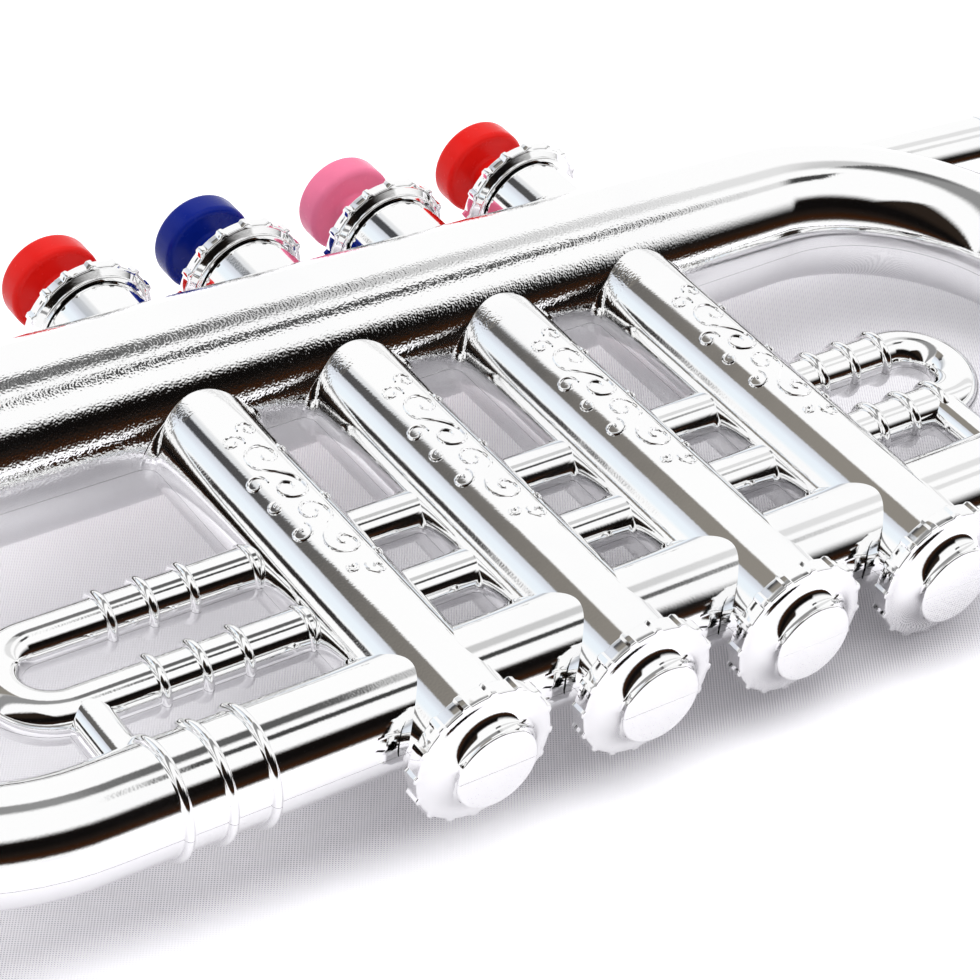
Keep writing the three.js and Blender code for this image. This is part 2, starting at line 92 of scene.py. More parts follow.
bell_end_bore, first_valve_bore, last_valve_bore, top_end_bore = 12.8, 12.5, 10.9, 10.4
casing_bore = 7
ledge_bore, ledge_top, ledge_bottom = 6, -56.3, -57.5
bulkheads = {"top": (58.5, 60.9), "low": (-60.9, -58.5)}
end_ring_height, end_ring_width, end_ring_gap = 0.4, 0.9, 0.3
corner_fillet, bar_fillet = 2.0, 1.0
web_share = 0.7
web_root, least_web = 1.5, 0.05
half_gap = 0.025
half_block = (400, 400, 40)
overrun = 1
round_sides = 120
bar_sides = 72
bore_sides = 64
bend_steps = 40
bead_steps = 8
web_levels, web_steps = 12, 8
sharp_angle = math.radians(32)
round_facing = 0.9


def middle_of(node):
    low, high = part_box(node)
    return (low + high) / 2


drawing_origin = Vector(((middle_of("key_2").x + middle_of("key_3").x) / 2, middle_of("bell").y, 0))
in_place = Matrix.Translation(drawing_origin) @ Matrix.Scale(millimetre, 4)
centre_lines = {}
plain = -1


def centre_line(nearest):
    """Keeps a function that gives the nearest place on a round form's centre line. Returns its number."""
    centre_lines[len(centre_lines) + 1] = nearest
    return len(centre_lines)


def blank():
    bm = bmesh.new()
    bm.faces.layers.int.new("form")
    return bm


def mark(bm, number):
    """Gives this number to the faces that have none yet. Faces on no round form are plain."""
    layer = bm.faces.layers.int["form"]
    for face in bm.faces:
        if face[layer] == 0:
            face[layer] = number


def ring_place(centre, direction, radius):
    """The matrix that lays a flat unit circle square to a direction in the drawing's plane."""
    along = Vector(direction).normalized()
    up = Vector((0, 0, 1))
    side = up.cross(along)
    turn = Matrix((side, up, along)).transposed().to_4x4()
    return Matrix.Translation(centre) @ turn @ Matrix.Scale(radius, 4)


def tube(bm, stations, sides, number):
    """A closed round tube through (centre, direction, radius) stations."""
    made = bmesh.ops.create_circle(bm, cap_ends=True, segments=sides, radius=1)
    ring = made["verts"]
    end_face = ring[0].link_faces[0]
    place = Matrix.Identity(4)
    for i, station in enumerate(stations):
        if i:
            drawn = bmesh.ops.extrude_face_region(bm, geom=[end_face])["geom"]
            ring = [part for part in drawn if isinstance(part, bmesh.types.BMVert)]
            if i > 1:
                bmesh.ops.delete(bm, geom=[end_face], context="FACES_ONLY")
            end_face = next(part for part in drawn if isinstance(part, bmesh.types.BMFace))
        new_place = ring_place(*station)
        bmesh.ops.transform(bm, matrix=new_place @ place.inverted(), verts=ring)
        place = new_place
    mark(bm, number)


def along_x(height):
    return centre_line(lambda place: Vector((place.x, height, 0)))


def along_y(x):
    return centre_line(lambda place: Vector((x, place.y, 0)))


def across(bm, stations, height, sides, number=None):
    """A straight tube along X through (x, radius) stations."""
    rings = [(Vector((x, height, 0)), (1, 0, 0), radius) for x, radius in stations]
    tube(bm, rings, sides, along_x(height) if number is None else number)


def upright(bm, x, low, high, radius, sides, number=None):
    rings = [(Vector((x, y, 0)), (0, 1, 0), radius) for y in (low, high)]
    tube(bm, rings, sides, along_y(x) if number is None else number)


def half_turn(centre, reach, start_angle, radii, steps):
    """Stations of a bend that turns clockwise through half a circle, seen from above."""
    stations = []
    for i in range(steps + 1):
        angle = start_angle - math.pi * i / steps
        out = Vector((math.cos(angle), math.sin(angle), 0))
        direction = (math.sin(angle), -math.cos(angle), 0)
        stations.append((centre + reach * out, direction, radii[0] + (radii[1] - radii[0]) * i / steps))
    return stations


def on_bend(centre, reach, place):
    out = Vector((place.x - centre.x, place.y - centre.y, 0)).normalized()
    return centre + reach * out


def object_from(bm, name):
    bmesh.ops.recalc_face_normals(bm, faces=bm.faces)
    mesh = bpy.data.meshes.new(name)
    bm.to_mesh(mesh)
    bm.free()
    made = bpy.data.objects.new(name, mesh)
    bpy.context.scene.collection.objects.link(made)
    return made


def combined(base, changes):
    """The mesh of a base object after joins and cuts with other closed objects, which are then removed."""
    for operation, other in changes:
        change = base.modifiers.new(operation.lower(), "BOOLEAN")
        change.operation = operation
        change.object = other
        change.solver = "MANIFOLD"
    mesh = bpy.data.meshes.new_from_object(base.evaluated_get(bpy.context.evaluated_depsgraph_get()))
    for helper in [base] + [other for _, other in changes]:
        bpy.data.objects.remove(helper)
    return mesh


right_centre = Vector((right_bend, -bend_radius, 0))
left_centre = Vector((left_bend, -bend_radius, 0))


def main_line(place):
    if place.x > right_bend:
        return on_bend(right_centre, bend_radius, place)
    return Vector((place.x, 0 if place.y > -bend_radius else -loop_height, 0))


def left_line(place):
    if place.x < left_bend:
        return on_bend(left_centre, bend_radius, place)
    return Vector((place.x, -loop_height, 0))


def pipe_place(distance):
    return pipe_start + distance * Vector((math.cos(pipe_tilt), math.sin(pipe_tilt), 0))


def pipe_line(place):
    along = pipe_place(1) - pipe_start
    return pipe_start + along * (place - pipe_start).dot(along)


def top_tube_radius(x):
    share = (x - first_valve) / (last_valve - first_valve)
    return top_radii["first"] + (top_radii["last"] - top_radii["first"]) * share


def main_tube():
    """The top tube, the right bend and the low tube up to the first casing."""
    stations = [
        (Vector((bell_joint, 0, 0)), (1, 0, 0), top_radii["bell"]),
        (Vector((left_bend, 0, 0)), (1, 0, 0), top_radii["bell"]),
        (Vector((first_valve, 0, 0)), (1, 0, 0), top_radii["first"]),
        (Vector((last_valve, 0, 0)), (1, 0, 0), top_radii["last"]),
    ]
    radii = (top_radii["bend"], low_radius)
    stations += half_turn(right_centre, bend_radius, math.pi / 2, radii, bend_steps)
    stations.append((Vector((first_valve, -loop_height, 0)), (-1, 0, 0), low_radius))
    return stations


def left_tube(start, wall):
    """The low tube's left end and the left bend, less a wall."""
    stations = [(Vector((start, -loop_height, 0)), (-1, 0, 0), low_radius - wall)]
    radii = (low_radius - wall, left_bend_end_radius - wall)
    return stations + half_turn(left_centre, bend_radius, -math.pi / 2, radii, bend_steps)


slide_middle = Vector((0, (upper_bar + lower_bar) / 2, 0))
slide_reach = (upper_bar - lower_bar) / 2


def slide_line(place):
    for end, beyond in ((slide_left, place.x < slide_left), (slide_right, place.x > slide_right)):
        if beyond:
            return on_bend(slide_middle + Vector((end, 0, 0)), slide_reach, place)
    return Vector((place.x, upper_bar if place.y > slide_middle.y else lower_bar, 0))


def bead(bm, x, height, radius, rise=bead_height, width=bead_width):
    """A ring bead: a short tube whose radius swells in a half round."""
    stations = []
    for i in range(bead_steps + 1):
        angle = math.pi * i / bead_steps
        swell = radius - bead_sink + (rise + bead_sink) * math.sin(angle)
        stations.append((x - width / 2 * math.cos(angle), swell))
    across(bm, stations, height, bar_sides, plain)


def corner_web(bm, upright_x, upright_radius, side, height, radius, lift, fillet):
    """The rounded inside corner between an upright and a tube along X. It follows both and fades out."""
    half_height = web_share * min(upright_radius, radius)
    rows = []
    for level in range(-web_levels, web_levels + 1):
        z = half_height * level / web_levels
        x = upright_x + side * math.sqrt(upright_radius ** 2 - z ** 2)
        y = height + lift * math.sqrt(radius ** 2 - z ** 2)
        reach = max(fillet * (1 - (z / half_height) ** 2), least_web)
        outline = [(x - side * web_root, y - lift * web_root), (x + side * reach, y - lift * web_root)]
        for i in range(web_steps + 1):
            angle = math.pi / 2 * i / web_steps
            outline.append((
                x + side * reach * (1 - math.sin(angle)),
                y + lift * reach * (1 - math.cos(angle)),
            ))
        outline.append((x - side * web_root, y + lift * reach))
        rows.append([bm.verts.new((px, py, z)) for px, py in outline])
    for low, high in zip(rows, rows[1:]):
        for i in range(len(low)):
            bm.faces.new((low[i - 1], low[i], high[i], high[i - 1]))
    bm.faces.new(rows[0])
    bm.faces.new(rows[-1])
    mark(bm, plain)


def form(name, *draw_calls):
    bm = blank()
    for draw, *values in draw_calls:
        draw(bm, *values)
    return object_from(bm, name)


slide_radii = (bar_radius, bar_radius)
slide_stations = [(Vector((first_valve, upper_bar, 0)), (1, 0, 0), bar_radius)]
for end, start_angle in ((slide_right, math.pi / 2), (slide_left, -math.pi / 2)):
    centre = slide_middle + Vector((end, 0, 0))
    slide_stations += half_turn(centre, slide_reach, start_angle, slide_radii, bend_steps)
slide_stations.append((Vector((first_valve - casing_bore / 2, upper_bar, 0)), (1, 0, 0), bar_radius))

bead_calls = []
for i in range(bead_count):
    bead_calls.append((bead, first_valve - low_bead_reach - i * bead_pitch, -loop_height, low_radius))
    for bar in (upper_bar, lower_bar):
        bead_calls.append((bead, first_valve - left_bead_reach - i * bead_pitch, bar, bar_radius))
        bead_calls.append((bead, last_valve + right_bead_reach + i * bead_pitch, bar, bar_radius))
end_ring = first_valve - casing_radius - end_ring_gap
for bar in (upper_bar, lower_bar):
    bead_calls.append((bead, end_ring, bar, bar_radius, end_ring_height, end_ring_width))

web_calls = []
for x in valve_places:
    for side in (-1, 1):
        tube_radius = top_tube_radius(x + side * casing_radius)
        web_calls.append((corner_web, x, casing_radius, side, 0, tube_radius, -1, corner_fillet))
        web_calls.append((corner_web, x, casing_radius, side, -loop_height, low_radius, 1, corner_fillet))
        if (x, side) != (first_valve, -1):
            for bar, lift in itertools.product((upper_bar, lower_bar), (1, -1)):
                web_calls.append((corner_web, x, casing_radius, side, bar, bar_radius, lift, bar_fillet))
for x in post_places:
    for side in (-1, 1):
        web_calls.append((corner_web, x, post_radius, side, -loop_height, low_radius, 1, bar_fillet))

pipe_stations = [(pipe_place(d), pipe_place(1) - pipe_start, pipe_radius) for d in (0, pipe_length)]
left_stations = left_tube(first_valve - casing_bore / 2, 0)
stub_stations = [(first_valve, stub_radius), (last_valve, stub_radius)]
outside = form("outside", (tube, main_tube(), round_sides, centre_line(main_line)))
joins = [
    form("left", (tube, left_stations, round_sides, centre_line(left_line))),
    form("casings", *[
        (upright, x, casing_foot, casing_top, casing_radius, round_sides) for x in valve_places
    ]),
    form("stub", (across, stub_stations, -loop_height, round_sides)),
    form("slides", (tube, slide_stations, bar_sides, centre_line(slide_line))),
    form("posts", *[(upright, x, -loop_height, lower_bar, post_radius, bar_sides) for x in post_places]),
    form("beads", *bead_calls),
    form("webs", *web_calls),
    form("pipe", (tube, pipe_stations, bar_sides, centre_line(pipe_line))),
]
top_end, chest_top = bulkheads["top"]
left_start, chest_low = bulkheads["low"]
chest = [(Vector((chest_top, 0, 0)), (1, 0, 0), top_radii["bend"] - shell_wall)]
chest_radii = (top_radii["bend"] - shell_wall, low_radius - shell_wall)
chest += half_turn(right_centre, bend_radius, math.pi / 2, chest_radii, bend_steps)
chest.append((Vector((chest_low, -loop_height, 0)), (-1, 0, 0), low_radius - shell_wall))
sound_bore = [
    (bell_joint - overrun, bell_end_bore),
    (left_bend, bell_end_bore),
    (first_valve, first_valve_bore),
    (last_valve, last_valve_bore),
    (top_end, top_end_bore),
]
bore_stations = [
    (pipe_place(d), pipe_place(1) - pipe_start, pipe_bore) for d in (0, pipe_length + overrun)
]
casing_cuts = {
    "high_bores": (ledge_top, casing_top + overrun, casing_bore),
    "ledge_bores": (ledge_bottom - overrun, ledge_top + overrun, ledge_bore),
    "low_bores": (casing_foot - overrun, ledge_bottom, casing_bore),
}
cuts = [
    form("sound_bore", (across, sound_bore, 0, bore_sides, plain)),
    form("chest", (tube, chest, bore_sides, plain)),
    form("left_bore", (tube, left_tube(left_start, shell_wall), bore_sides, plain)),
    form("pipe_bore", (tube, bore_stations, bore_sides, plain)),
]
for name, (low, high, radius) in casing_cuts.items():
    cuts.append(form(name, *[(upright, x, low, high, radius, bore_sides, plain) for x in valve_places]))


def upper_half(bm):
    bmesh.ops.create_cube(bm, size=1)
    bmesh.ops.scale(bm, vec=half_block, verts=bm.verts)
    bmesh.ops.translate(bm, vec=(0, 0, half_block[2] / 2 + half_gap), verts=bm.verts)
    mark(bm, plain)


changes = [("UNION", join) for join in joins] + [("DIFFERENCE", cut) for cut in cuts]
upper_mesh = combined(outside, changes + [("INTERSECT", form("half", (upper_half,)))])


def shade_round(mesh):
    """Smooth shading, with the exact outward direction wherever a face lies on a round form."""
    mesh.shade_smooth()
    mesh.set_sharp_from_angle(angle=sharp_angle)
    forms = mesh.attributes["form"].data
    normals = [Vector()] * len(mesh.loops)
    for face in mesh.polygons:
        nearest = centre_lines.get(forms[face.index].value)
        if nearest is None:
            continue
        outward = (face.center - nearest(face.center)).normalized()
        if outward.dot(face.normal) < round_facing:
            continue
        for i in face.loop_indices:
            place = mesh.vertices[mesh.loops[i].vertex_index].co
            normals[i] = (place - nearest(place)).normalized()
    mesh.normals_split_custom_set(normals)


def mirrored(mesh):
    bm = bmesh.new()
    bm.from_mesh(mesh)
    bmesh.ops.scale(bm, vec=(1, 1, -1), verts=bm.verts)
    bmesh.ops.reverse_faces(bm, faces=bm.faces)
    turned_over = bpy.data.meshes.new("lower")
    bm.to_mesh(turned_over)
    bm.free()
    return turned_over


class Shade:
    """One output socket of a node tree. Arithmetic on it adds Math nodes."""

    def __init__(self, tree, socket=None):
        self.tree = tree
        self.socket = socket

    def make(self, kind, sockets=None, output=0, stops=None, **settings):
        """Adds a node, with its settings and ramp stops first, then values or links by socket."""
        node = self.tree.nodes.new("ShaderNode" + kind)
        for name, value in settings.items():
            setattr(node, name, value)
        if stops:
            while len(node.color_ramp.elements) < len(stops):
                node.color_ramp.elements.new(1)
            for element, (position, colour) in zip(node.color_ramp.elements, stops):
                element.position = position
                element.color = (*colour, 1)
        for name, value in (sockets or {}).items():
            self.fill(node.inputs[name], value)
        return Shade(self.tree, node.outputs[output])

    def fill(self, socket, value):
        if isinstance(value, Shade):
            self.tree.links.new(value.socket, socket)
        elif socket.type == "RGBA" and len(value) == 3:
            socket.default_value = (*value, 1)
        else:
            socket.default_value = value

    def maths(self, operation, first, second=0.0):
        return self.make("Math", {0: first, 1: second}, operation=operation)

    def __add__(self, other):
        return self.maths("ADD", self, other)

    def __sub__(self, other):
        return self.maths("SUBTRACT", self, other)

    def __rsub__(self, other):
        return self.maths("SUBTRACT", other, self)

    def __mul__(self, other):
        return self.maths("MULTIPLY", self, other)

    def __truediv__(self, other):
        return self.maths("DIVIDE", self, other)

    __radd__ = __add__
    __rmul__ = __mul__

    def smooth(self, low, high):
        """0 below low and 1 above high, with a soft step between."""
        sockets = {"Value": self, "From Min": low, "From Max": high}
        return self.make("MapRange", sockets, interpolation_type="SMOOTHSTEP")

    def mix(self, first, second):
        """The first colour where this is 0 and the second where it is 1."""
        return self.make("Mix", {0: self, 6: first, 7: second}, output=2, data_type="RGBA")


def finish_named(name):
    """A new material and its main shader, with the object coordinates in metres to draw patterns on."""
    material = bpy.data.materials.new(name)
    material.use_nodes = True
    tree = material.node_tree
    place = Shade(tree).make("TexCoord", output="Object")
    return material, tree.nodes["Principled BSDF"], place


def set_sockets(place, shader, sockets):
    for name, value in sockets.items():
        place.fill(shader.inputs[name], value)


def bumped(place, height, distance):
    return place.make("Bump", {"Height": height, "Distance": distance, "Strength": 1.0})


# The coat has a fine grain, about 0.3 mm, on a slow orange peel a few millimetres long. The grain is coarser
# on the top tube, where it was blown on thickest, up to the right bend. Lengths are in metres.
fine_grain, coarse_grain, peel_height = 0.002, 0.02, 0.02
grain_unit = 0.001
coarse_low, coarse_high, coarse_edge = -0.0145, 0.0105, 0.001
coarse_fades = (0.06, 0.1)
clean_roughness, dust_roughness = 0.05, 0.03
plated, plated_shader, place = finish_named("metallised_plastic")
grain = place.make("TexNoise", {"Vector": place, "Scale": 3000.0, "Detail": 0.0})
peel = place.make("TexNoise", {"Vector": place, "Scale": 160.0, "Detail": 1.0})
dust = place.make("TexNoise", {"Vector": place, "Scale": 45.0, "Detail": 3.0}).smooth(0.45, 0.75)
along, height = (place.make("SeparateXYZ", {0: place}, output=i) for i in (0, 1))
top_low, top_high = drawing_origin.y + coarse_low, drawing_origin.y + coarse_high
coarse = height.smooth(top_low - coarse_edge, top_low)
coarse = coarse * (1.0 - height.smooth(top_high, top_high + coarse_edge))
coarse = coarse * (1.0 - along.smooth(*coarse_fades))
relief_height = grain * (fine_grain + coarse_grain * coarse) + peel * peel_height
set_sockets(place, plated_shader, {
    "Base Color": dust.mix((0.985, 0.985, 0.985), (0.965, 0.965, 0.97)),
    "Metallic": 1.0,
    "Roughness": clean_roughness + dust_roughness * dust,
    "Normal": bumped(place, relief_height, grain_unit),
})

for name, half_mesh in (("body_upper_half", upper_mesh), ("body_lower_half", mirrored(upper_mesh))):
    shade_round(half_mesh)
    half_mesh.transform(in_place)
    half_mesh.name = name
    half_mesh.materials.clear()
    half_mesh.materials.append(plated)
    half = bpy.data.objects.new(name, half_mesh)
    bpy.context.scene.collection.objects.link(half)
    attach(half, "trumpet_body")
    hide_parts(name.replace("body_", "body_shell_").replace("_half", ""))


# Bell: one turned plastic flare with a rolled rim and the same metallised coat. Its spigot is glued into the
# top tube's bore.
bell_length = 75
bell_rim_radius = 46
bell_wall = 1.8
rim_bead = 1.5
flare_power = 3.2
spigot_radius, spigot_length = 12.5, 8
glue_gap = 0.3
bell_turns = 180
bell_steps, rim_steps = 48, 14
rim_outer_angle = 20
merge_distance = 0.0005


def turned(name, outline, turn, steps, material):
    """A piece turned about the drawing's Y axis from (radius, y) places, then put in place by a matrix."""
    bm = bmesh.new()
    corners = [bm.verts.new((radius, y, 0)) for radius, y in outline]
    closed = outline[0][0] > 0
    pairs = list(zip(corners, corners[1:])) + ([(corners[-1], corners[0])] if closed else [])
    edges = [bm.edges.new(pair) for pair in pairs]
    bmesh.ops.spin(
        bm, geom=corners + edges, cent=(0, 0, 0), axis=(0, 1, 0),
        angle=2 * math.pi, steps=steps, use_merge=True,
    )
    bmesh.ops.remove_doubles(bm, verts=bm.verts, dist=merge_distance)
    bmesh.ops.transform(bm, matrix=turn, verts=bm.verts)
    made = object_from(bm, name)
    finish_piece(made, material)
    return made


def finish_piece(made, material):
    made.data.transform(in_place)
    made.data.shade_smooth()
    made.data.set_sharp_from_angle(angle=sharp_angle)
    made.data.materials.clear()
    made.data.materials.append(material)


def arc(centre, radius, start, end, steps):
    """Places on an arc in the (radius, y) plane, between two angles in degrees."""
    places = []
    for i in range(steps + 1):
        angle = math.radians(start + (end - start) * i / steps)
        places.append((centre[0] + radius * math.cos(angle), centre[1] + radius * math.sin(angle)))
    return places


def flare(share):
    return top_radii["bell"] + (bell_rim_radius - rim_bead - top_radii["bell"]) * share ** flare_power


# In the outline Y grows towards the mouthpiece, so the rim is at the low end.
neck = bell_joint - glue_gap
spigot_end = bell_joint + spigot_length
rim_start = bell_joint - bell_length + rim_bead
shares = [i / bell_steps for i in range(bell_steps + 1)]
outer = [(flare(share), neck + (rim_start - neck) * share) for share in shares]
inner = [(flare(share) - bell_wall, neck + (rim_start - neck) * share) for share in shares]
rim = arc((bell_rim_radius - rim_bead, rim_start), rim_bead, rim_outer_angle, -180, rim_steps)
bell_outline = [(spigot_radius, spigot_end), (spigot_radius, neck), *outer, *rim, *inner[-2::-1]]
bell_outline.append((spigot_radius - bell_wall, neck))
bell_outline.append((spigot_radius - bell_wall, spigot_end))
bell = turned("bell_flare", bell_outline, Matrix.Rotation(-math.pi / 2, 4, "Z"), bell_turns, plated)
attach(bell, "trumpet_body")
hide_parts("bell")


# Scrollwork: low raised curls on the upper side of each casing, moulded with the body and plated with it.
# Places are (round the casing, along it), from the middle of its upper side. A scroll is (place, inner
# radius, outer radius, outer end's angle, turn inwards), and pairs make S-shaped scrolls.
ridge_radius = 0.24
ridge_sink = 0.04
ridge_end_share, ridge_taper = 0.55, 4
scroll_steps = 48
joint_steps = 12
joint_reach_share = 0.9
wire_resolution = 3
scrolls = [
    [((1.0, -28.3), 0.5, 3.4, -121, -430), ((0.3, -35.9), 0.5, 2.9, 30, -430)],
    [((0.4, -41.8), 0.5, 2.9, -60, 430), ((1.1, -49.2), 0.5, 2.7, 170, 430)],
    [((2.0, -21.8), 0.4, 1.7, 180, -400)],
    [((-1.7, -23.8), 0.4, 1.8, -30, 400)],
    [((-3.4, -33.0), 0.4, 1.8, -20, 400)],
    [((-3.5, -38.5), 0.4, 1.2, 60, 400)],
    [((-3.3, -44.6), 0.4, 1.9, 40, -400)],
    [((-1.2, -54.4), 0.3, 1.0, 20, -380)],
    [((2.2, -55.6), 0.3, 1.7, 140, 380)],
    [((5.8, -26.0), 0.3, 0.9, 90, 380)],
    [((5.8, -37.9), 0.3, 0.9, 90, 380)],
    [((5.8, -51.3), 0.3, 0.9, 90, 380)],
]


def wire_mesh(name, lines, radius):
    """A mesh of round wires along lists of places, in the drawing's millimetres."""
    curve = bpy.data.curves.new(name, "CURVE")
    curve.dimensions = "3D"
    curve.bevel_depth = radius
    curve.bevel_resolution = wire_resolution
    curve.use_fill_caps = True
    for line in lines:
        spline = curve.splines.new("POLY")
        spline.points.add(len(line) - 1)
        for point, (spot, thickness) in zip(spline.points, line):
            point.co = (*spot, 1)
            point.radius = thickness
    holder = bpy.data.objects.new(name, curve)
    bpy.context.scene.collection.objects.link(holder)
    mesh = bpy.data.meshes.new_from_object(holder.evaluated_get(bpy.context.evaluated_depsgraph_get()))
    bpy.data.objects.remove(holder)
    return mesh


def spiral(middle, inner_radius, outer_radius, outer_angle, turn):
    """Places from a scroll's outer end to its eye."""
    places = []
    for i in range(scroll_steps + 1):
        angle = math.radians(outer_angle + turn * i / scroll_steps)
        radius = outer_radius + (inner_radius - outer_radius) * i / scroll_steps
        places.append(Vector((middle[0] + radius * math.cos(angle), middle[1] + radius * math.sin(angle))))
    return places


def joining_curve(first, second):
    """A smooth curve from the outer end of one scroll to the outer end of the next."""
    start, end = first[0], second[0]
    reach = joint_reach_share * (end - start).length
    leave = (first[0] - first[1]).normalized() * reach
    arrive = (second[1] - second[0]).normalized() * reach
    places = []
    for i in range(1, joint_steps):
        t = i / joint_steps
        places.append(
            (2 * t**3 - 3 * t**2 + 1) * start + (t**3 - 2 * t**2 + t) * leave
            + (3 * t**2 - 2 * t**3) * end + (t**3 - t**2) * arrive
        )
    return places


def relief_line(x, scroll):
    """One scroll wrapped on the casing at x, thinning towards its ends."""
    flat = spiral(*scroll[0])
    if len(scroll) > 1:
        second = spiral(*scroll[1])
        flat = flat[::-1] + joining_curve(flat, second) + second
    line = []
    reach = casing_radius + ridge_sink
    for i, place in enumerate(flat):
        angle = place.x / casing_radius
        end_distance = min(i, len(flat) - 1 - i) / len(flat)
        line.append((
            (x + reach * math.sin(angle), place.y, reach * math.cos(angle)),
            min(1, ridge_end_share + ridge_taper * end_distance),
        ))
    return line


for number, x in enumerate(valve_places, 1):
    lines = [relief_line(x, scroll) for scroll in scrolls]
    mesh = wire_mesh(f"scroll_relief_{number}", lines, ridge_radius)
    relief = bpy.data.objects.new(f"scroll_relief_{number}", mesh)
    bpy.context.scene.collection.objects.link(relief)
    finish_piece(relief, plated)
    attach(relief, "trumpet_body")


# Mouthpiece: a turned cup on a waisted stem, of the same plated plastic. Its shank is glued into the mouth
# pipe. The player's lips rest on the rounded rim.
mouthpiece_length = 32
mouthpiece_rim = 11
rim_thickness = 2.6
waist_radius = 4.6
collar_radius, collar_length, collar_edge = 6.2, 4, 0.5
cup_radius = 8.2
cup_depth = 8
cup_edge, cup_edge_end = 0.8, 175
bowl_fullness, bowl_steps = 0.8, 12
throat_radius = 1.9
shank_radius, shank_length = 3.1, 10
waist_fillet = 1
swell_length, swell_inset, swell_gap = 5, 1.6, 0.6
swell_fullness, swell_steps = 1.3, 16
rim_back_edge, rim_front_edge = 0.9, 1.3
collar_steps, edge_steps, rim_front_steps = 5, 6, 8
mouthpiece_turns = 128

start = pipe_length + glue_gap
end = pipe_length + mouthpiece_length
cup_bottom = end - cup_depth
bowl = []
for i in range(bowl_steps + 1):
    angle = math.pi / 2 * i / bowl_steps
    reach = throat_radius + (cup_radius - throat_radius) * math.cos(angle) ** bowl_fullness
    bowl.append((reach, end - cup_edge - (cup_depth - cup_edge) * math.sin(angle)))
swell = []
swell_start = cup_bottom - swell_length
swell_end = end - rim_thickness - swell_gap
for i in range(swell_steps + 1):
    share = i / swell_steps
    soft = share * share * (3 - 2 * share)
    reach = waist_radius + (mouthpiece_rim - swell_inset - waist_radius) * soft ** swell_fullness
    swell.append((reach, swell_start + (swell_end - swell_start) * share))
collar_middle, collar_end = collar_radius - collar_edge, start + collar_length
rim_back = end - rim_thickness + rim_back_edge
mouthpiece_outline = [
    (throat_radius, start - shank_length),
    (shank_radius, start - shank_length),
    (shank_radius, start),
    *arc((collar_middle, start + collar_edge), collar_edge, -90, 0, collar_steps),
    *arc((collar_middle, collar_end - collar_edge), collar_edge, 0, 90, collar_steps),
    *arc((waist_radius + waist_fillet, collar_end + waist_fillet), waist_fillet, 270, 180, edge_steps),
    *swell,
    *arc((mouthpiece_rim - rim_back_edge, rim_back), rim_back_edge, -90, 0, edge_steps),
    *arc((mouthpiece_rim - rim_front_edge, end - rim_front_edge), rim_front_edge, 0, 90, rim_front_steps),
    *arc((cup_radius + cup_edge, end - cup_edge), cup_edge, 90, cup_edge_end, edge_steps),
    *bowl[1:],
]
onto_pipe = Matrix.Translation(pipe_start) @ Matrix.Rotation(pipe_tilt - math.pi / 2, 4, "Z")
mouthpiece = turned("mouthpiece_cup", mouthpiece_outline, onto_pipe, mouthpiece_turns, plated)
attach(mouthpiece, "trumpet_body")
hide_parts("mouthpiece")


# Caps: plated plastic plugs in both ends of each casing. Sixteen straight ridges run round each flange. The
# bottom caps end in a coved boss with a mould line across its face. The top caps have a flared collar and a
# hole for the key.
cap_radius = 11.1
cap_thickness = 2.6
ridges = 16
ridge_height = 0.45
ridge_foot, ridge_crown = 0.36, 0.15
cap_steps = 12 * ridges
cap_valley = cap_radius - ridge_height
cap_edge, cap_edge_steps = 0.25, 3
plug_radius = 6.7
bottom_plug, plug_chamfer = 5, 0.4
boss_radius = 6.4
boss_height = 3.2
boss_edge, boss_edge_steps = 0.35, 6
cove_radius = 9.6
cove_depth = 2.8
cove_steps = 12
line_width, line_depth = 0.2, 0.2
line_overrun = 1
cap_collar_radius, cap_collar_height = 9.5, 1.2
cap_collar_edge, cap_collar_edge_steps = 0.3, 4
collar_flare, flare_start = 10.2, 0.5
top_flange = 1.8
top_plug = 4
key_hole, key_hole_chamfer = 3.4, 0.5
seat_gap = 0.3
bottom_cap_place = casing_foot - seat_gap
top_cap_place = casing_top + seat_gap
flange_edge = cap_valley - cap_edge
edge_tolerance = 0.01


def raise_ridges(piece, centre_x):
    """Lifts the flange's edge into straight ridges with rounded feet."""
    for vertex in piece.data.vertices:
        x = vertex.co.x - in_place.translation.x - millimetre * centre_x
        reach = math.hypot(x, vertex.co.z) / millimetre
        if reach < flange_edge - edge_tolerance:
            continue
        share = abs((math.atan2(vertex.co.z, x) * ridges / (2 * math.pi) + 0.5) % 1 - 0.5) * 2
        ramp = min(max((ridge_foot - share) / (ridge_foot - ridge_crown), 0), 1)
        factor = (reach + ridge_height * ramp * ramp * (3 - 2 * ramp)) / reach
        vertex.co.x += x * (factor - 1)
        vertex.co.z *= factor


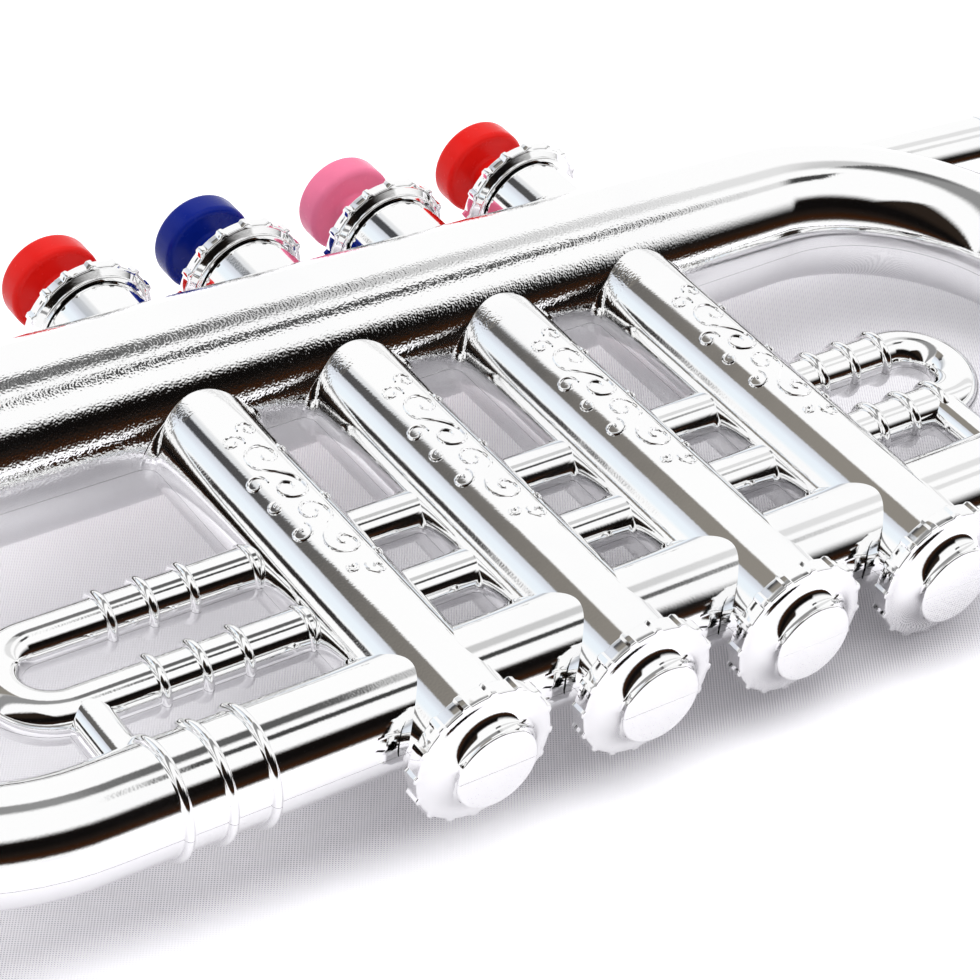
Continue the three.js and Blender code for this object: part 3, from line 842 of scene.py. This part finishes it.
cove = []
for i in range(cove_steps + 1):
    angle = math.pi / 2 * i / cove_steps
    reach = cove_radius - (cove_radius - boss_radius) * math.sin(angle)
    cove.append((reach, -cap_thickness - cove_depth * (1 - math.cos(angle))))
boss_face = -cap_thickness - boss_height
bottom_outline = [
    (0, bottom_plug),
    (plug_radius - plug_chamfer, bottom_plug),
    (plug_radius, bottom_plug - plug_chamfer),
    (plug_radius, 0),
    *arc((flange_edge, -cap_edge), cap_edge, 90, 0, cap_edge_steps),
    *arc((flange_edge, cap_edge - cap_thickness), cap_edge, 0, -90, cap_edge_steps),
    *cove,
    *arc((boss_radius - boss_edge, boss_face + boss_edge), boss_edge, 0, -90, boss_edge_steps),
    (0, boss_face),
]
collar_turn = cap_collar_radius - cap_collar_edge
top_face = cap_collar_height + top_flange
top_outline = [
    (key_hole, -top_plug),
    (plug_radius, -top_plug),
    (plug_radius, 0),
    *arc((collar_turn, cap_collar_edge), cap_collar_edge, -90, 0, cap_collar_edge_steps),
    (cap_collar_radius, flare_start),
    (collar_flare, cap_collar_height),
    *arc((flange_edge, cap_collar_height + cap_edge), cap_edge, -90, 0, cap_edge_steps),
    *arc((flange_edge, top_face - cap_edge), cap_edge, 0, 90, cap_edge_steps),
    (key_hole + key_hole_chamfer, top_face),
    (key_hole, top_face - key_hole_chamfer),
]


def cap_line(bm, x):
    """The thin bar that cuts the mould line across a boss's face."""
    bmesh.ops.create_cube(bm, size=1)
    length = 2 * (boss_radius + line_overrun)
    bmesh.ops.scale(bm, vec=(length, 2 * line_depth, line_width), verts=bm.verts)
    bmesh.ops.translate(bm, vec=(x, bottom_cap_place + boss_face, 0), verts=bm.verts)
    bmesh.ops.transform(bm, matrix=in_place, verts=bm.verts)


cap_kinds = (("bottom_cap", bottom_outline, bottom_cap_place), ("top_cap", top_outline, top_cap_place))
for number, x in enumerate(valve_places, 1):
    for name, outline, y in cap_kinds:
        cap = turned(f"{name}_{number}_ridged", outline, Matrix.Translation((x, y, 0)), cap_steps, plated)
        raise_ridges(cap, x)
        if name == "bottom_cap":
            cut_mesh = combined(cap, [("DIFFERENCE", form("line", (cap_line, x)))])
            cap = bpy.data.objects.new(f"{name}_{number}_ridged", cut_mesh)
            bpy.context.scene.collection.objects.link(cap)
            cap.data.set_sharp_from_angle(angle=sharp_angle)
        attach(cap, "trumpet_body")
        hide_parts(f"{name}_{number}")


# Keys: glossy moulded buttons in red, blue, pink and red, each on a stem that slides in its top cap.
key_radius = 7.65
key_thickness = 5.1
key_edge = 1.1
key_under = 30.0
stem_radius = 3.1
stem_end = 2.7
stem_chamfer, stem_fillet = 0.3, 0.6
fillet_steps, key_edge_steps = 4, 8
socket_radius, socket_depth = 1.9, 6.5
key_turns = 96
red, blue, pink = (0.84, 0.014, 0.010), (0.003, 0.016, 0.24), (0.98, 0.23, 0.38)
key_colours = {1: red, 2: blue, 3: pink, 4: red}
key_slots = {1: "key_red", 2: "key_blue", 3: "key_pink", 4: "key_red"}

key_face = key_under + key_thickness
key_outline = [
    (0, stem_end + socket_depth),
    (socket_radius, stem_end + socket_depth),
    (socket_radius, stem_end),
    (stem_radius - stem_chamfer, stem_end),
    (stem_radius, stem_end + stem_chamfer),
    *arc((stem_radius + stem_fillet, key_under - stem_fillet), stem_fillet, 180, 90, fillet_steps),
    *arc((key_radius - key_edge, key_under + key_edge), key_edge, -90, 0, key_edge_steps),
    *arc((key_radius - key_edge, key_face - key_edge), key_edge, 0, 90, key_edge_steps),
    (0, key_face),
]


def key_finish(name, colour):
    """Glossy dyed plastic with a faint moulding flow and fine scuffs on its gloss."""
    material, shader, place = finish_named(name)
    flow = place.make("TexNoise", {"Vector": place, "Scale": 260.0, "Detail": 2.0})
    scuffs = place.make("TexNoise", {"Vector": place, "Scale": 900.0, "Detail": 4.0}).smooth(0.5, 0.8)
    darker = tuple(0.95 * part for part in colour)
    set_sockets(place, shader, {
        "Base Color": flow.smooth(0.3, 0.7).mix(darker, colour),
        "Roughness": 0.22 + 0.1 * scuffs,
        "Specular IOR Level": 0.14,
        "Normal": bumped(place, flow, 0.00001),
    })
    return material


key_finishes = {slot: key_finish(slot + "_plastic", key_colours[n]) for n, slot in key_slots.items()}
for number, x in enumerate(valve_places, 1):
    slot = key_slots[number]
    on_casing = Matrix.Translation((x, 0, 0))
    key = turned(f"key_{number}_button", key_outline, on_casing, key_turns, key_finishes[slot])
    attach(key, f"key_assembly_{number}")
    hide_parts(f"key_{number}")


# Valve works, inside the casings: white moulded rods and reed blocks, rubber pads and brass reeds. The
# solids are right as they are and only take finishes.
white, white_shader, place = finish_named("white_moulded_plastic")
mould_flow = place.make("TexNoise", {"Vector": place, "Scale": 350.0, "Detail": 2.0})
set_sockets(place, white_shader, {
    "Base Color": mould_flow.mix((0.86, 0.85, 0.81), (0.92, 0.91, 0.88)),
    "Roughness": 0.45 + 0.1 * mould_flow,
    "Normal": bumped(place, mould_flow, 0.00003),
})
rubber, rubber_shader, place = finish_named("pad_rubber_matt")
crumb = place.make("TexNoise", {"Vector": place, "Scale": 1800.0, "Detail": 3.0})
set_sockets(place, rubber_shader, {
    "Base Color": crumb.mix((0.02, 0.02, 0.022), (0.05, 0.05, 0.052)),
    "Roughness": 0.75 + 0.2 * crumb,
    "Normal": bumped(place, crumb, 0.00005),
})
brass, brass_shader, place = finish_named("rolled_brass")
rolled = place.make("Mapping", {"Vector": place, "Scale": (300.0, 300.0, 4000.0)})
rolling = place.make("TexNoise", {"Vector": rolled, "Scale": 1.0, "Detail": 2.0})
set_sockets(place, brass_shader, {
    "Base Color": rolling.mix((0.72, 0.52, 0.2), (0.86, 0.68, 0.32)),
    "Metallic": 1.0,
    "Roughness": 0.22 + 0.15 * rolling,
    "Normal": bumped(place, rolling, 0.000004),
})
works = {"key_rod": white, "reed_block": white, "seal_pad": rubber, "reed": brass}
for number in range(1, valve_count + 1):
    for piece, material in works.items():
        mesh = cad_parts[f"{piece}_{number}"].data
        mesh.materials.clear()
        mesh.materials.append(material)


# Return springs: drawn steel wire coiled between each rod's foot and the bottom cap. The real springs
# shorten as the key goes down, but these keep one length. Their end curls lie flat.
spring_low, spring_high = -78.4, -60.7
coil_radius = 4.3
wire_radius = 0.3
curls, flat_curls = 6, 0.75
flat_rise_share = 0.04
curl_steps = 36
steel, steel_shader, place = finish_named("drawn_steel_wire")
drawn = place.make("TexNoise", {"Vector": place, "Scale": 2500.0, "Detail": 2.0})
set_sockets(place, steel_shader, {
    "Base Color": drawn.mix((0.5, 0.51, 0.53), (0.66, 0.67, 0.69)),
    "Metallic": 1.0,
    "Roughness": 0.22 + 0.12 * drawn,
})


def coil_line(x):
    line = []
    steps = curl_steps * curls
    low, high = spring_low + wire_radius, spring_high - wire_radius
    for i in range(steps + 1):
        curled = curls * i / steps
        turn = 2 * math.pi * curled
        share = min(max((curled - flat_curls) / (curls - 2 * flat_curls), 0), 1)
        rise = flat_rise_share * i / steps + (1 - flat_rise_share) * share
        place = (x + coil_radius * math.cos(turn), low + (high - low) * rise, coil_radius * math.sin(turn))
        line.append((place, 1))
    return line


for number, x in enumerate(valve_places, 1):
    mesh = wire_mesh(f"return_spring_{number}_coil", [coil_line(x)], wire_radius)
    spring = bpy.data.objects.new(f"return_spring_{number}_coil", mesh)
    bpy.context.scene.collection.objects.link(spring)
    finish_piece(spring, steel)
    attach(spring, "trumpet_body")
    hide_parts(f"return_spring_{number}")
    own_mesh(spring)


# Floor: a white cloth that the toy lies on, touched by the bell's rim, the mouthpiece and the right bend's
# low end. Its white is partly painted light. An emission, seen by the camera and more faintly in the
# plating, is full outside a painted shadow of the toy, which ends past the bosses, past the keys and
# past the toy's ends, and it adds a little painted light in the loop's windows. The painted shadow's and the
# threads' lengths are in metres, and a wave texture of scale 1 repeats every 0.1 pi.
floor_lean = (0.0946, -0.1239)
floor_height = -26.3
floor_reach = 3000
thread_pitch = 0.0004
thread_turn = math.radians(34.7)
wave_repeat = 0.1 * math.pi
shadow_edge, shadow_blur, shadow_slope = -0.0875, 0.007, 0.155
keys_edge = (0.032, 0.046)
ends_edge = (0.14, 0.17)
loop_edge = (-0.065, -0.030)
# Strengths of the painted light in the plating's reflections and in the loop's windows.
mirrored_painted_glow, painted_loop_light = 0.4, 0.27
seen_rays = ("Is Camera Ray", "Is Glossy Ray", "Is Transmission Ray")
cloth, cloth_shader, place = finish_named("floor_cloth")
laid = place.make("Mapping", {"Vector": place, "Rotation": (0, 0, thread_turn)})
thread_scale = wave_repeat / thread_pitch
threads = {"Vector": laid, "Scale": thread_scale, "Distortion": 0.3}
warp = place.make("TexWave", threads, bands_direction="X")
weft = place.make("TexWave", threads, bands_direction="Y")
camera_ray, glossy_ray, clear_ray = (place.make("LightPath", output=name) for name in seen_rays)
floor_x, floor_y = (place.make("SeparateXYZ", {0: place}, output=n) for n in (0, 1))
boss_side = (floor_x - drawing_origin.x) * shadow_slope + (floor_y - drawing_origin.y)
past_bosses = 1.0 - boss_side.smooth(shadow_edge - shadow_blur, shadow_edge + shadow_blur)
past_keys = (floor_y - drawing_origin.y).smooth(*keys_edge)
past_ends = place.maths("ABSOLUTE", floor_x).smooth(*ends_edge)
inside_loop = (floor_y - drawing_origin.y).smooth(*loop_edge)
# Painted light and shadow: the cloth's emission is full past the edges of the toy's painted shadow and low
# inside it, with a little painted light added in the loop's windows.
painted_light_mask = past_bosses + past_keys + past_ends + painted_loop_light * inside_loop
painted_glow = (camera_ray + mirrored_painted_glow * (glossy_ray + clear_ray)) * painted_light_mask
set_sockets(place, cloth_shader, {
    "Base Color": (warp * weft).mix((0.985, 0.975, 0.99), (0.42, 0.41, 0.44)),
    "Emission Color": painted_glow.mix((0.0, 0.0, 0.0), (0.6, 0.6, 0.61)),
    "Emission Strength": 1.0,
    "Roughness": 0.9,
    "Normal": bumped(place, warp + weft, 0.00002),
})
floor_mesh = bmesh.new()
bmesh.ops.create_grid(floor_mesh, x_segments=2, y_segments=2, size=floor_reach)
lean = Matrix(((1, 0, 0, 0), (0, 1, 0, 0), (*floor_lean, 1, floor_height), (0, 0, 0, 1)))
bmesh.ops.transform(floor_mesh, matrix=in_place @ lean, verts=floor_mesh.verts)
floor = object_from(floor_mesh, "floor")
floor.data.materials.append(cloth)


# Studio: a large soft lamp overhead and a pale room. The room that the plating mirrors is white above and
# behind the toy, with the dark of the room on the camera's side and two dark screens beyond the keys. Its
# bands are given in degrees of roll about X or of lean about Y, and their ends by the sky's X or Y.
dark_rise, dark_end = (9.0, 15.0), 73.0
dark_drop, dark_drop_from = 22.0, (-0.42, -0.15)
dark_last_drop, dark_last_from = 9.0, (0.51, 0.58)
dark_edge, dark_soft_edge, dark_soft_from = 5.0, 6.0, (0.495, 0.56)
seam_middle, seam_half_width, seam_slope, seam_bend_share = 82.0, (2.5, 7.0), 30.0, 0.46
seam_from, seam_loss, seam_loss_from = (0.36, 0.4), 0.75, (0.53, 0.61)
beam_middle, beam_half_width, beam_depth = 108.0, (5.0, 12.0), 0.8
beam_gain, beam_gain_from = 0.2, (0.3, 0.42)
beam_loss, beam_loss_from = 0.55, (0.44, 0.47)
beam_last_loss, beam_last_from = 0.2, (0.5, 0.6)
screen_rise, screen_end, screen_extra, screen_extra_until = (59.0, 63.0), 76.0, 17.0, (0.58, 0.66)
screen_edge_in, screen_edge_out = 2.0, 3.0
screen_loss, screen_loss_from = 0.8, (0.675, 0.70)
screen_darkens = (0.53, 0.68)
frame_line_rise, frame_line_fall = (17.0, 20.0), (26.0, 30.0)
frame_line_from, frame_line_until = (0.57, 0.60), (0.655, 0.675)
far_side_from = (0.40, 0.46)
world = bpy.data.worlds.new("studio")
bpy.context.scene.world = world
world.use_nodes = True
sky = Shade(world.node_tree).make("TexCoord", output="Generated")
sky_x, sky_y, sky_z = (sky.make("SeparateXYZ", {0: sky}, output=n) for n in range(3))
degrees = 180 / math.pi
roll = sky.maths("ARCTAN2", sky_z, sky_y * -1.0) * degrees
lean_over = sky.maths("ARCTAN2", sky_z, sky_x * -1.0) * degrees


def distance(angle, middle):
    return sky.maths("ABSOLUTE", angle - middle)


dark_top = dark_end - dark_drop * sky_x.smooth(*dark_drop_from)
dark_top = dark_top - dark_last_drop * sky_x.smooth(*dark_last_from)
dark_blur = dark_edge + dark_soft_edge * sky_x.smooth(*dark_soft_from)
dark = roll.smooth(*dark_rise) * (1.0 - roll.smooth(dark_top - dark_blur, dark_top + dark_blur))
dim = sky.make("ValToRGB", {"Fac": roll / 90.0}, stops=[
    (0.13, (0.055, 0.044, 0.038)),
    (0.21, (0.033, 0.0103, 0.0024)),
    (0.29, (0.0137, 0.0091, 0.007)),
    (0.38, (0.0037, 0.003, 0.0027)),
    (0.48, (0.0037, 0.003, 0.0027)),
    (0.61, (0.0212, 0.0144, 0.0103)),
])
seam_rise = seam_slope * sky.maths("MAXIMUM", seam_bend_share - sky_x, 0.0)
seam = 1.0 - distance(roll, seam_middle + seam_rise).smooth(*seam_half_width)
seam = seam * sky_x.smooth(*seam_from) * (1.0 - seam_loss * sky_x.smooth(*seam_loss_from))
beam = 1.0 - distance(roll, beam_middle).smooth(*beam_half_width)
beam_strength = beam_depth + beam_gain * sky_x.smooth(*beam_gain_from)
beam_strength = beam_strength - beam_loss * sky_x.smooth(*beam_loss_from)
beam_strength = beam_strength - beam_last_loss * sky_x.smooth(*beam_last_from)
ceiling = (beam * beam_strength).mix((1.0, 1.0, 1.0), (0.10, 0.10, 0.10))
camera_side = dark.mix(seam.mix(ceiling, (0.05, 0.05, 0.05)), dim)
window = sky.make("ValToRGB", {"Fac": lean_over / 90.0}, stops=[
    (0.30, (1.0, 1.0, 1.0)),
    (0.38, (0.86, 0.93, 0.98)),
    (0.50, (0.84, 0.91, 0.98)),
    (0.62, (0.70, 0.73, 0.80)),
    (0.70, (0.62, 0.65, 0.70)),
    (0.94, (0.80, 0.81, 0.82)),
    (1.00, (1.0, 1.0, 1.0)),
])
screen_top = screen_end + screen_extra * (1.0 - sky_y.smooth(*screen_extra_until))
screen = 1.0 - lean_over.smooth(screen_top - screen_edge_in, screen_top + screen_edge_out)
screen = screen * lean_over.smooth(*screen_rise) * (1.0 - screen_loss * sky_y.smooth(*screen_loss_from))
screen_colour = sky_y.smooth(*screen_darkens).mix((0.27, 0.25, 0.22), (0.055, 0.056, 0.062))
frame_line = lean_over.smooth(*frame_line_rise) * (1.0 - lean_over.smooth(*frame_line_fall))
frame_line = frame_line * sky_y.smooth(*frame_line_from) * (1.0 - sky_y.smooth(*frame_line_until))
far_side = frame_line.mix(screen.mix(window, screen_colour), (0.025, 0.022, 0.022))
mirrored_room = sky_y.smooth(*far_side_from).mix(camera_side, far_side)
camera_ray, glossy_ray, clear_ray = (sky.make("LightPath", output=name) for name in seen_rays)
room = glossy_ray.mix((0.77, 0.76, 0.80), mirrored_room)
background = world.node_tree.nodes["Background"]
sky.fill(background.inputs["Color"], (camera_ray + clear_ray).mix(room, (1.0, 1.0, 1.0)))
background.inputs["Strength"].default_value = 1.0

lamp_data = bpy.data.lights.new("overhead", "AREA")
lamp_data.shape = "DISK"
lamp_data.size = 1.4
lamp_data.energy = 7
lamp = bpy.data.objects.new("overhead", lamp_data)
lamp.location = (0.1, 0.35, 1.3)
lamp.rotation_euler = (-lamp.location).to_track_quat("-Z", "Y").to_euler()
lamp.visible_glossy = False
bpy.context.scene.collection.objects.link(lamp)
bpy.context.scene.view_settings.view_transform = "Standard"


# Camera: at the photograph's viewing angle, fitted to the casings, the loop, the caps and the keys. Its
# place is in metres.
camera_place = (-0.1981, -0.2787, 0.2654)
right = Vector((0.81598, -0.56609, 0.11715))
forward = Vector((0.50682, 0.60307, -0.61599))
camera_data = bpy.data.cameras.new("camera")
camera_data.lens = 108.7
camera_data.sensor_width = 36
camera = bpy.data.objects.new("camera", camera_data)
turn = Matrix((right, right.cross(forward), -forward)).transposed().to_4x4()
camera.matrix_world = Matrix.Translation(camera_place) @ turn
bpy.context.scene.collection.objects.link(camera)
bpy.context.scene.camera = camera
